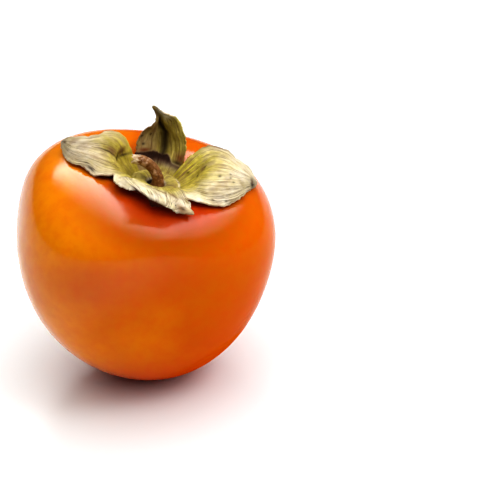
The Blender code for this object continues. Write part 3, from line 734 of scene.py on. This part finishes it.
def build_calyx():
    """The dried calyx: four veined sepals around a padded disc, as one thin body."""
    sheet = Sheet()
    groove = []
    cleft_rows = {}
    tables = []
    web_end = WEB_ROWS * FINER_ROWS
    for number, name in enumerate(SEPAL_ORDER):
        first_cleft, last_cleft = SEPALS[name][:2]
        grid, across, along = fine_grid(name)
        grid = kept_clear(veined(name, grid, across, along))
        tones = sepal_tones(name, grid, across, along)
        last_row, last_column = len(grid) - 1, len(grid[0]) - 1
        tip = sheet.vertex(grid[-1, 0], (0.0, 1.0, number), brown=TIP_BROWN)
        table = []
        for row in range(last_row + 1):
            line = []
            for column in range(last_column + 1):
                side = {0: first_cleft, last_column: last_cleft}.get(column)
                shared = (side, row) if side and row <= web_end else None
                if row == last_row:
                    line.append(tip)
                elif shared in cleft_rows:
                    line.append(cleft_rows[shared])
                else:
                    here = (row, column)
                    values = {tone: levels[here] for tone, levels in tones.items()}
                    line.append(sheet.vertex(grid[here], (across[here], along[here], number), **values))
                    if shared:
                        cleft_rows[shared] = line[-1]
            table.append(line)
        tables.append(table)
        groove += table[0][:-1]
    for table in tables:
        for lower, upper in zip(table, table[1:]):
            for corner in range(len(lower) - 1):
                loop = [lower[corner], upper[corner], upper[corner + 1], lower[corner + 1]]
                sheet.faces.append(tuple(dict.fromkeys(loop)))
    add_disc(sheet, groove)
    attributes = {"leaf": np.array(sheet.leaf)}
    attributes.update({key: np.array(values) for key, values in sheet.tones.items()})
    piece = new_piece("calyx_dried", to_row(sheet.points), sheet.faces, attributes, "calyx")
    body = piece.modifiers.new("body", "SOLIDIFY")
    body.thickness = SHEET_THICKNESS * MM
    body.offset = -1.0
    body.use_rim = True
    body.material_offset = 1
    body.material_offset_rim = 2
    return piece


def add_disc(sheet, groove):
    """The padded disc inside the groove, up to the stem's seat."""
    edge = np.array([sheet.points[index] for index in groove])
    azimuths = np.degrees(np.arctan2(edge[:, 1], edge[:, 0]))
    profile = np.array([(radius, height, 0.0) for radius, height in DISC_PROFILE[::-1]])
    profile = through(profile, np.linspace(0, len(profile) - 1, DISC_RINGS))
    outer = groove
    for radius, height, _ in profile[1:]:
        points = over_skin(azimuths, radius, height)
        lumps = noise_at(points, DISC_LUMP_SIZE, DISC_SEED)
        points[:, 2] += DISC_LUMP_HEIGHT * lumps
        green = DISC_GREEN * smoothstep(*FOOT_RADII, radius)
        dark = HOLE_DARK * (1 - smoothstep(*HOLE_RADII, radius))
        # The pale rim, a painted highlight, dies away on the way round from the right sepal's first edge.
        rim = math.exp(-((radius - HIGHLIGHT_RIM_RADIUS) / HIGHLIGHT_RIM_WIDTH) ** 2)
        inner = []
        for point, azimuth, lump in zip(points, azimuths, lumps):
            rim *= smoothstep(*HIGHLIGHT_RIM_REACH, math.cos(math.radians(azimuth + HIGHLIGHT_RIM_TURN)))
            brown = DISC_BROWN * max(0.0, lump) * (1 - rim)
            leaf = (azimuth / DISC_LANE, 0.0, DISC_NUMBER)
            inner.append(sheet.vertex(point, leaf, green=green * (1 - rim), brown=brown, dark=dark))
        for index in range(len(outer)):
            after = (index + 1) % len(outer)
            sheet.faces.append((inner[index], outer[index], outer[after], inner[after]))
        outer = inner
    middle = sheet.vertex(over_skin(0.0, 0.0, SEAT_HEIGHT), (0.0, 0.0, DISC_NUMBER),
                          brown=MIDDLE_BROWN, dark=MIDDLE_DARK)
    for index in range(len(outer)):
        sheet.faces.append((middle, outer[index], outer[(index + 1) % len(outer)]))


def stem_rings():
    """The stem's rings of points and the points that close it, with how pale each point is."""
    line = np.array([(x, 0.0, z) for x, z, _ in STEM_LINE])
    line[0, 2] = float(skin_height(line[0, 0], 0.0)) + SEAT_HEIGHT + STEM_GAP
    curve, passes = smooth_curve(line)
    centres = even_points(curve, STEM_RINGS)
    radii = np.interp(np.linspace(0, len(curve) - 1, STEM_RINGS), passes, [r for _, _, r in STEM_LINE])
    along = np.gradient(centres, axis=0)
    along /= np.linalg.norm(along, axis=1, keepdims=True)
    side = np.array([0.0, 1.0, 0.0])
    turns = np.arange(STEM_SIDES) * 2 * math.pi / STEM_SIDES
    east, north = np.cos(turns), np.sin(turns)
    points, paleness = [], []
    for index, (centre, radius) in enumerate(zip(centres, radii)):
        share = index / (STEM_RINGS - 1)
        up = np.cross(side, along[index])
        around = east[:, None] * side + north[:, None] * up
        lanes = [east * BARK_LANES, north * BARK_LANES, np.full_like(turns, share * BARK_WAVES)]
        furrows = noise_at(np.stack(lanes, -1), 1.0, BARK_SEED)
        knots = noise_at(centre + around * radius, KNOT_SIZE, KNOT_SEED)
        foot = FOOT_SPREAD * math.exp(-(share / FOOT_LENGTH) ** 2)
        reach = radius * (1 + FURROW_SHARE * furrows + KNOT_SHARE * knots) + foot
        ring = centre + around * reach[:, None]
        if share > BREAK_START:
            lanes = np.stack([east * BREAK_LANES, north * BREAK_LANES, turns * 0], -1)
            torn = BREAK_DEPTH * (share - BREAK_START) / (1 - BREAK_START)
            ring = ring + along[index] * (torn * noise_at(lanes, 1.0, BREAK_SEED))[:, None]
        points.append(ring)
        pale = smoothstep(*PALE_END, share + PALE_RAGGED * furrows)
        pale = np.maximum(pale, smoothstep(*PALE_FOOT, share) * smoothstep(*PALE_KNOTS, knots))
        paleness.append(pale)
    end = centres[-1] + along[-1] * BREAK_DEPTH * BREAK_RISE
    rim = points[-1]
    for shrink, sunk in BREAK_RINGS:
        rough = noise_at(rim, FIBRE_SIZE, FIBRE_SEED)[:, None]
        points.append(end + (rim - end) * shrink - along[-1] * (sunk + FIBRE_DEPTH * rough))
        paleness.append(np.ones(STEM_SIDES))
    points += [centres[:1], end[None] - along[-1] * BREAK_MIDDLE]
    paleness += [np.zeros(1), np.ones(1)]
    return np.concatenate(points), np.concatenate(paleness)


def build_stem():
    """The bent woody stub with furrowed bark and a pale torn end."""
    points, paleness = stem_rings()
    faces = closed_tube(len(points) // STEM_SIDES, STEM_SIDES)
    piece = new_piece("stem_wood", to_row(points), faces, {"pale": paleness}, "stem")
    return piece


class Nodes:
    """Short calls that add nodes to a tree and link them."""

    def __init__(self, tree):
        self.tree = tree

    def feed(self, socket, value):
        """Link another node's output to a socket, or set its value."""
        if isinstance(value, bpy.types.NodeSocket):
            self.tree.links.new(value, socket)
        elif isinstance(value, (tuple, list)) and len(value) == 3 and socket.type == "RGBA":
            socket.default_value = (*value, 1.0)
        else:
            socket.default_value = value

    def fill(self, node, **values):
        """Set or link a node's inputs, named with underscores for spaces."""
        for key, value in values.items():
            self.feed(node.inputs[key.replace("_", " ")], value)
        return node

    def node(self, kind, **values):
        return self.fill(self.tree.nodes.new("ShaderNode" + kind), **values)

    def maths(self, operation, first, second=0.0, kind="Math"):
        node = self.node(kind)
        node.operation = operation
        for socket, value in zip(node.inputs, (first, second)):
            self.feed(socket, value)
        return node.outputs["Value"]

    def product(self, *factors):
        result = factors[0]
        for factor in factors[1:]:
            result = self.maths("MULTIPLY", result, factor)
        return result

    def along(self, vector, direction):
        """How far a vector reaches along a direction."""
        return self.maths("DOT_PRODUCT", vector, direction, "VectorMath")

    def distance(self, vector, centre):
        return self.maths("DISTANCE", vector, centre, "VectorMath")


class Finish(Nodes):
    """A new material with its Principled shader."""

    def __init__(self, name, **values):
        self.material = bpy.data.materials.new(name)
        self.material.use_nodes = True
        super().__init__(self.material.node_tree)
        self.shade(**values)

    def shade(self, **values):
        self.fill(self.tree.nodes["Principled BSDF"], **values)

    def attribute(self, name, output="Fac"):
        node = self.node("Attribute")
        node.attribute_name = name
        return node.outputs[output]

    def place(self, stretch=(1.0, 1.0, 1.0), source=None):
        """Object coordinates, or another vector, stretched."""
        if source is None:
            source = self.node("TexCoord").outputs["Object"]
        return self.node("Mapping", Vector=source, Scale=stretch).outputs["Vector"]

    def noise(self, vector, scale, detail=3.0, rough=0.5):
        node = self.node("TexNoise", Vector=vector, Scale=scale, Detail=detail, Roughness=rough)
        return node.outputs["Fac"]

    def ramp(self, value, *stops):
        """A colour ramp; each stop is (place, colour or grey)."""
        node = self.node("ValToRGB", Fac=value)
        points = node.color_ramp.elements
        for index, (place, colour) in enumerate(stops):
            point = points[index] if index < 2 else points.new(place)
            point.position = place
            grey = not isinstance(colour, (tuple, list))
            point.color = (colour, colour, colour, 1.0) if grey else (*colour, 1.0)
        return node.outputs["Color"]

    def mix(self, share, first, second):
        """The first colour with a share of the second over it."""
        node = self.node("Mix")
        node.data_type = "RGBA"
        inputs = [socket for socket in node.inputs if socket.enabled]
        for socket, value in zip(inputs, (share, first, second)):
            self.feed(socket, value)
        return next(socket for socket in node.outputs if socket.enabled)

    def bump(self, height, strength, distance):
        node = self.node("Bump", Height=height, Strength=strength, Distance=distance)
        return node.outputs["Normal"]


def skin_finish():
    """Waxy skin: yellow-orange at the left, and redder at the right, below and around the calyx, where
    shade is painted in.
    """
    finish = Finish("persimmon_skin", IOR=1.4, Subsurface_Weight=0.3, Subsurface_Scale=0.005,
                    Subsurface_Radius=(1.0, 0.25, 0.05))
    coordinates = finish.place()
    clouds = finish.noise(coordinates, CLOUD_SCALE, 2.0)
    pores = finish.noise(coordinates, PORE_SCALE, 2.0)
    specks = finish.noise(coordinates, SPECK_SCALE, 3.0, 0.6)
    yellow = finish.maths("ADD", finish.along(coordinates, YELLOW_TOWARD), clouds)
    side_shade = finish.maths("ADD", finish.along(coordinates, SIDE_SHADE_TOWARD), SIDE_SHADE_OFFSET)
    band_shade = finish.distance(finish.place(BAND_SHADE_STRETCH), BAND_SHADE_CENTRE)
    low = finish.along(coordinates, (0.0, 0.0, 1.0))
    centre = to_row(COLLAR_SHADE_CENTRE) * np.array(COLLAR_SHADE_STRETCH)
    collar_shade = finish.distance(finish.place(COLLAR_SHADE_STRETCH), centre)
    colour = finish.ramp(yellow, (0.30, SKIN_ORANGE), (0.78, SKIN_YELLOW))
    # Each patch: its measure, two places on it with the patch's share there, and its colour. All but the
    # specks are painted shade.
    for measure, first, second, patch in (
            (side_shade, (0.008, 0.0), (0.026, 0.65), SKIN_SIDE_SHADE),
            (band_shade, (0.006, 0.65), (0.015, 0.0), SKIN_BAND_SHADE),
            (low, (0.004, 0.8), (0.020, 0.0), SKIN_FOOT_SHADE),
            (collar_shade, (0.015, 0.85), (0.024, 0.0), SKIN_SHOULDER_SHADE),
            (collar_shade, (0.010, 0.85), (0.016, 0.0), SKIN_COLLAR_SHADE),
            (specks, (0.36, 0.2), (0.6, 0.0), SKIN_SPECK)):
        colour = finish.mix(finish.ramp(measure, first, second), colour, patch)
    # The gloss is duller and warmer towards the lower right and the foot, painted shade in its reflections
    # there.
    shaded_gloss = finish.maths("ADD", finish.along(coordinates, SHADED_GLOSS_TOWARD), SHADED_GLOSS_OFFSET)
    tint = finish.ramp(shaded_gloss, (0.022, (0.85, 1.0, 0.98)), (0.036, (1.0, 0.7, 0.5)),
                       (0.062, (1.0, 0.4, 0.03)))
    gloss = finish.ramp(shaded_gloss, (0.029, 0.5), (0.040, 0.25), (0.066, 0.10), (0.085, 0.0))
    rough = finish.ramp(clouds, (0.3, 0.10), (0.7, 0.14))
    finish.shade(Base_Color=colour, Normal=finish.bump(pores, 0.11, 0.0002), Roughness=rough,
                 Specular_Tint=tint, Specular_IOR_Level=gloss)
    return finish.material


def sepal_finish(name, paper, straw):
    """Dry veined sepal: pale straw with brown veins, yellow-green near the disc."""
    finish = Finish(name, Roughness=0.75, Specular_IOR_Level=0.25)
    coordinates = finish.place()
    leaf = finish.attribute("leaf", "Vector")
    patches = finish.noise(coordinates, 260.0, 3.0, 0.6)
    grain = finish.noise(coordinates, 1100.0, 3.0, 0.6)
    wander = finish.noise(coordinates, 300.0, 2.0)
    green, brown, dark, red = (finish.attribute(key) for key in ("green", "brown", "dark", "red"))
    colour = finish.mix(finish.ramp(patches, (0.35, 0.0), (0.65, 1.0)), paper, straw)
    lime = finish.mix(finish.ramp(patches, (0.4, 0.0), (0.6, 1.0)), SEPAL_LIME, SEPAL_OLIVE)
    colour = finish.mix(green, colour, lime)
    colour = finish.mix(brown, colour, SEPAL_BROWN)
    height = grain
    # The veins break up here and there, and fade towards the tip.
    gaps = finish.ramp(wander, (0.38, 0.25), (0.55, 1.0))
    fade = finish.ramp(finish.along(leaf, (0.0, 1.0, 0.0)), (0.80, 1.0), (0.98, 0.3))
    for lanes, waves, width, strength, depth, tone in SHADER_VEINS:
        noise_value = finish.noise(finish.place((lanes, waves, 1.0), leaf), 1.0, 1.0)
        off = finish.maths("ABSOLUTE", finish.maths("SUBTRACT", noise_value, 0.5))
        line = finish.ramp(off, (0.0, 1.0), (width, 0.0))
        colour = finish.mix(finish.product(line, gaps, fade, strength), colour, tone)
        height = finish.maths("SUBTRACT", height, finish.product(line, depth))
    # Red and dark go over last; they are partly the sepals' own marks, and partly painted shade and backlit
    # glow.
    colour = finish.mix(red, colour, SEPAL_RED)
    colour = finish.mix(dark, colour, SEPAL_DARK)
    finish.shade(Base_Color=colour, Normal=finish.bump(height, 0.8, 0.0004))
    return finish.material


def stem_finish():
    """Brown bark with paler scuffs, and pale fibres at the torn end."""
    finish = Finish("stem_wood", Roughness=0.72, Specular_IOR_Level=0.3)
    coordinates = finish.place()
    bark = finish.noise(coordinates, 900.0, 5.0, 0.65)
    scuffs = finish.noise(coordinates, 420.0, 4.0, 0.6)
    colour = finish.ramp(bark, (0.35, BARK_DARK), (0.65, BARK_BROWN))
    colour = finish.mix(finish.ramp(scuffs, (0.52, 0.0), (0.63, 0.85)), colour, BARK_SCUFF)
    wood = finish.ramp(bark, (0.3, WOOD_DARK), (0.6, WOOD_PALE))
    colour = finish.mix(finish.attribute("pale"), colour, wood)
    finish.shade(Base_Color=colour, Normal=finish.bump(bark, 0.6, 0.0005))
    return finish.material


def dark_finish():
    """The dried dark point under the fruit."""
    finish = Finish("dark_point", Roughness=0.8)
    grain = finish.noise(finish.place(), 1500.0, 4.0)
    colour = finish.ramp(grain, (0.3, POINT_DARK), (0.7, POINT_BROWN))
    finish.shade(Base_Color=colour, Normal=finish.bump(grain, 0.5, 0.0002))
    return finish.material


def build_floor():
    """The plain pale floor."""
    bpy.ops.mesh.primitive_plane_add(size=FLOOR_SIZE, location=(0, 0, -FLOOR_DROP))
    floor = bpy.context.object
    floor.name = "floor"
    finish = Finish("white_floor", Roughness=0.30, Base_Color=FLOOR_COLOUR, Specular_IOR_Level=0.3)
    floor.data.materials.append(finish.material)


def put(name, data, place, facing=None):
    """A light or camera at a place, facing the given way or straight down."""
    placed = bpy.data.objects.new(name, data)
    placed.location = place
    placed.rotation_mode = "QUATERNION"
    if facing:
        placed.rotation_quaternion = facing.to_track_quat("-Z", "Y")
    scene.collection.objects.link(placed)
    return placed


def area_light(name, place, size, power, facing=None):
    data = bpy.data.lights.new(name, "AREA")
    data.shape = "RECTANGLE"
    data.size, data.size_y = size
    data.energy = power
    return put(name, data, place, facing)


class LightMask(Nodes):
    """The nodes that shape a panel's light over its own plane."""

    def place(self, scale):
        """The lit point's world X and Y, divided by the scale."""
        position = self.node("NewGeometry").outputs["Position"]
        split = self.node("SeparateXYZ", Vector=position)
        return [self.maths("DIVIDE", split.outputs[axis], scale) for axis in "XY"]

    def slope(self, x, y, way):
        """A measure that grows across the panel the given way."""
        return self.maths("ADD", self.product(x, way[0]), self.product(y, way[1]))

    def step(self, value, edge):
        """A smooth ramp from 0 at the edge's first place to 1 at its second."""
        node = self.node("MapRange", Value=value, From_Min=edge[0], From_Max=edge[1])
        node.interpolation_type = "SMOOTHSTEP"
        return node.outputs["Result"]


def build_softbox():
    """The panel that the skin mirrors: bright at the back left, dim in front, with a notch cut out."""
    middle = (SOFTBOX_MIDDLE[0] * SOFTBOX_HEIGHT, SOFTBOX_MIDDLE[1] * SOFTBOX_HEIGHT)
    light = area_light("softbox", (*middle, SOFTBOX_HEIGHT + SOFTBOX_RAISE), SOFTBOX_SIZE, SOFTBOX_POWER)
    light.visible_diffuse = False
    light.data.use_nodes = True
    mask = LightMask(light.data.node_tree)
    x, y = mask.place(SOFTBOX_HEIGHT)
    slant = mask.slope(x, y, SOFTBOX_SLANT)
    panel = mask.product(mask.step(slant, SOFTBOX_SLANT_EDGE), mask.step(x, SOFTBOX_RIGHT_EDGE),
                         mask.step(y, SOFTBOX_FRONT_EDGE))
    bent = mask.maths("MAXIMUM", y, NOTCH_BEND)
    sides = [(mask.slope(x, height, way), edge, glow_edge)
             for height, (way, edge, glow_edge) in zip((y, y, bent), NOTCH_SIDES)]
    notch = mask.product(*(mask.step(side, edge) for side, edge, _ in sides))
    glow = mask.product(*(mask.step(side, glow_edge) for side, _, glow_edge in sides))
    bright = mask.product(mask.step(x, BRIGHT_RIGHT_EDGE), mask.step(y, BRIGHT_FRONT_EDGE))
    level = mask.maths("ADD", mask.product(bright, 1 - SOFTBOX_DIM), SOFTBOX_DIM)
    level = mask.maths("ADD", level, mask.product(glow, SOFTBOX_GLOW))
    level = mask.product(level, panel, mask.maths("SUBTRACT", 1.0, notch))
    mask.fill(mask.tree.nodes["Emission"], Strength=level)


def build_lights():
    """The mirrored softbox, a small key light and a pale surround, brighter overhead."""
    build_softbox()
    facing = Vector(KEY_AIM) - Vector(KEY_PLACE)
    key = area_light("key", KEY_PLACE, KEY_SIZE, KEY_POWER, facing)
    key.visible_glossy = False
    world = bpy.data.worlds.new("surround")
    world.use_nodes = True
    sky = Nodes(world.node_tree)
    generated = sky.node("TexCoord").outputs["Generated"]
    rise = sky.along(generated, OVERHEAD_TOWARD)
    level = sky.node("MapRange", Value=rise, From_Min=OVERHEAD_START, To_Min=HORIZON_LEVEL,
                     To_Max=OVERHEAD_LEVEL)
    path = sky.node("LightPath")
    soft = sky.fill(sky.tree.nodes["Background"], Color=WHITE, Strength=level.outputs["Result"])
    result = soft.outputs["Background"]
    for ray, strength in (("Is Glossy Ray", MIRRORED_LEVEL), ("Is Camera Ray", 1.0)):
        plain = sky.node("Background", Color=WHITE, Strength=strength)
        choice = sky.node("MixShader", Fac=path.outputs[ray])
        sky.feed(choice.inputs[1], result)
        sky.feed(choice.inputs[2], plain.outputs["Background"])
        result = choice.outputs["Shader"]
    sky.fill(sky.tree.nodes["World Output"], Surface=result)
    scene.world = world


def build_camera():
    """The camera at the photograph's viewing angle."""
    data = bpy.data.cameras.new("camera")
    data.lens = CAMERA_LENS
    data.sensor_width = CAMERA_SENSOR
    data.clip_start = CAMERA_CLIP
    back = Vector((0.0, -math.cos(CAMERA_ELEVATION), math.sin(CAMERA_ELEVATION)))
    aim = (Vector(CAMERA_AIM) + Vector(LEAN_SHIFT)) * MM
    scene.camera = put("camera", data, aim + back * CAMERA_DISTANCE * MM, -back)


skin = build_skin()
skin.data.materials.append(skin_finish())

calyx = build_calyx()
for name, (paper, straw) in SEPAL_PAPERS.items():
    calyx.data.materials.append(sepal_finish(name, paper, straw))

stem = build_stem()
stem.data.materials.append(stem_finish())

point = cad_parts["style_remnant"]
point.data.materials.clear()
point.data.materials.append(dark_finish())

build_floor()
build_lights()
build_camera()
scene.view_settings.view_transform = "Standard"
scene.view_settings.look = "High Contrast"
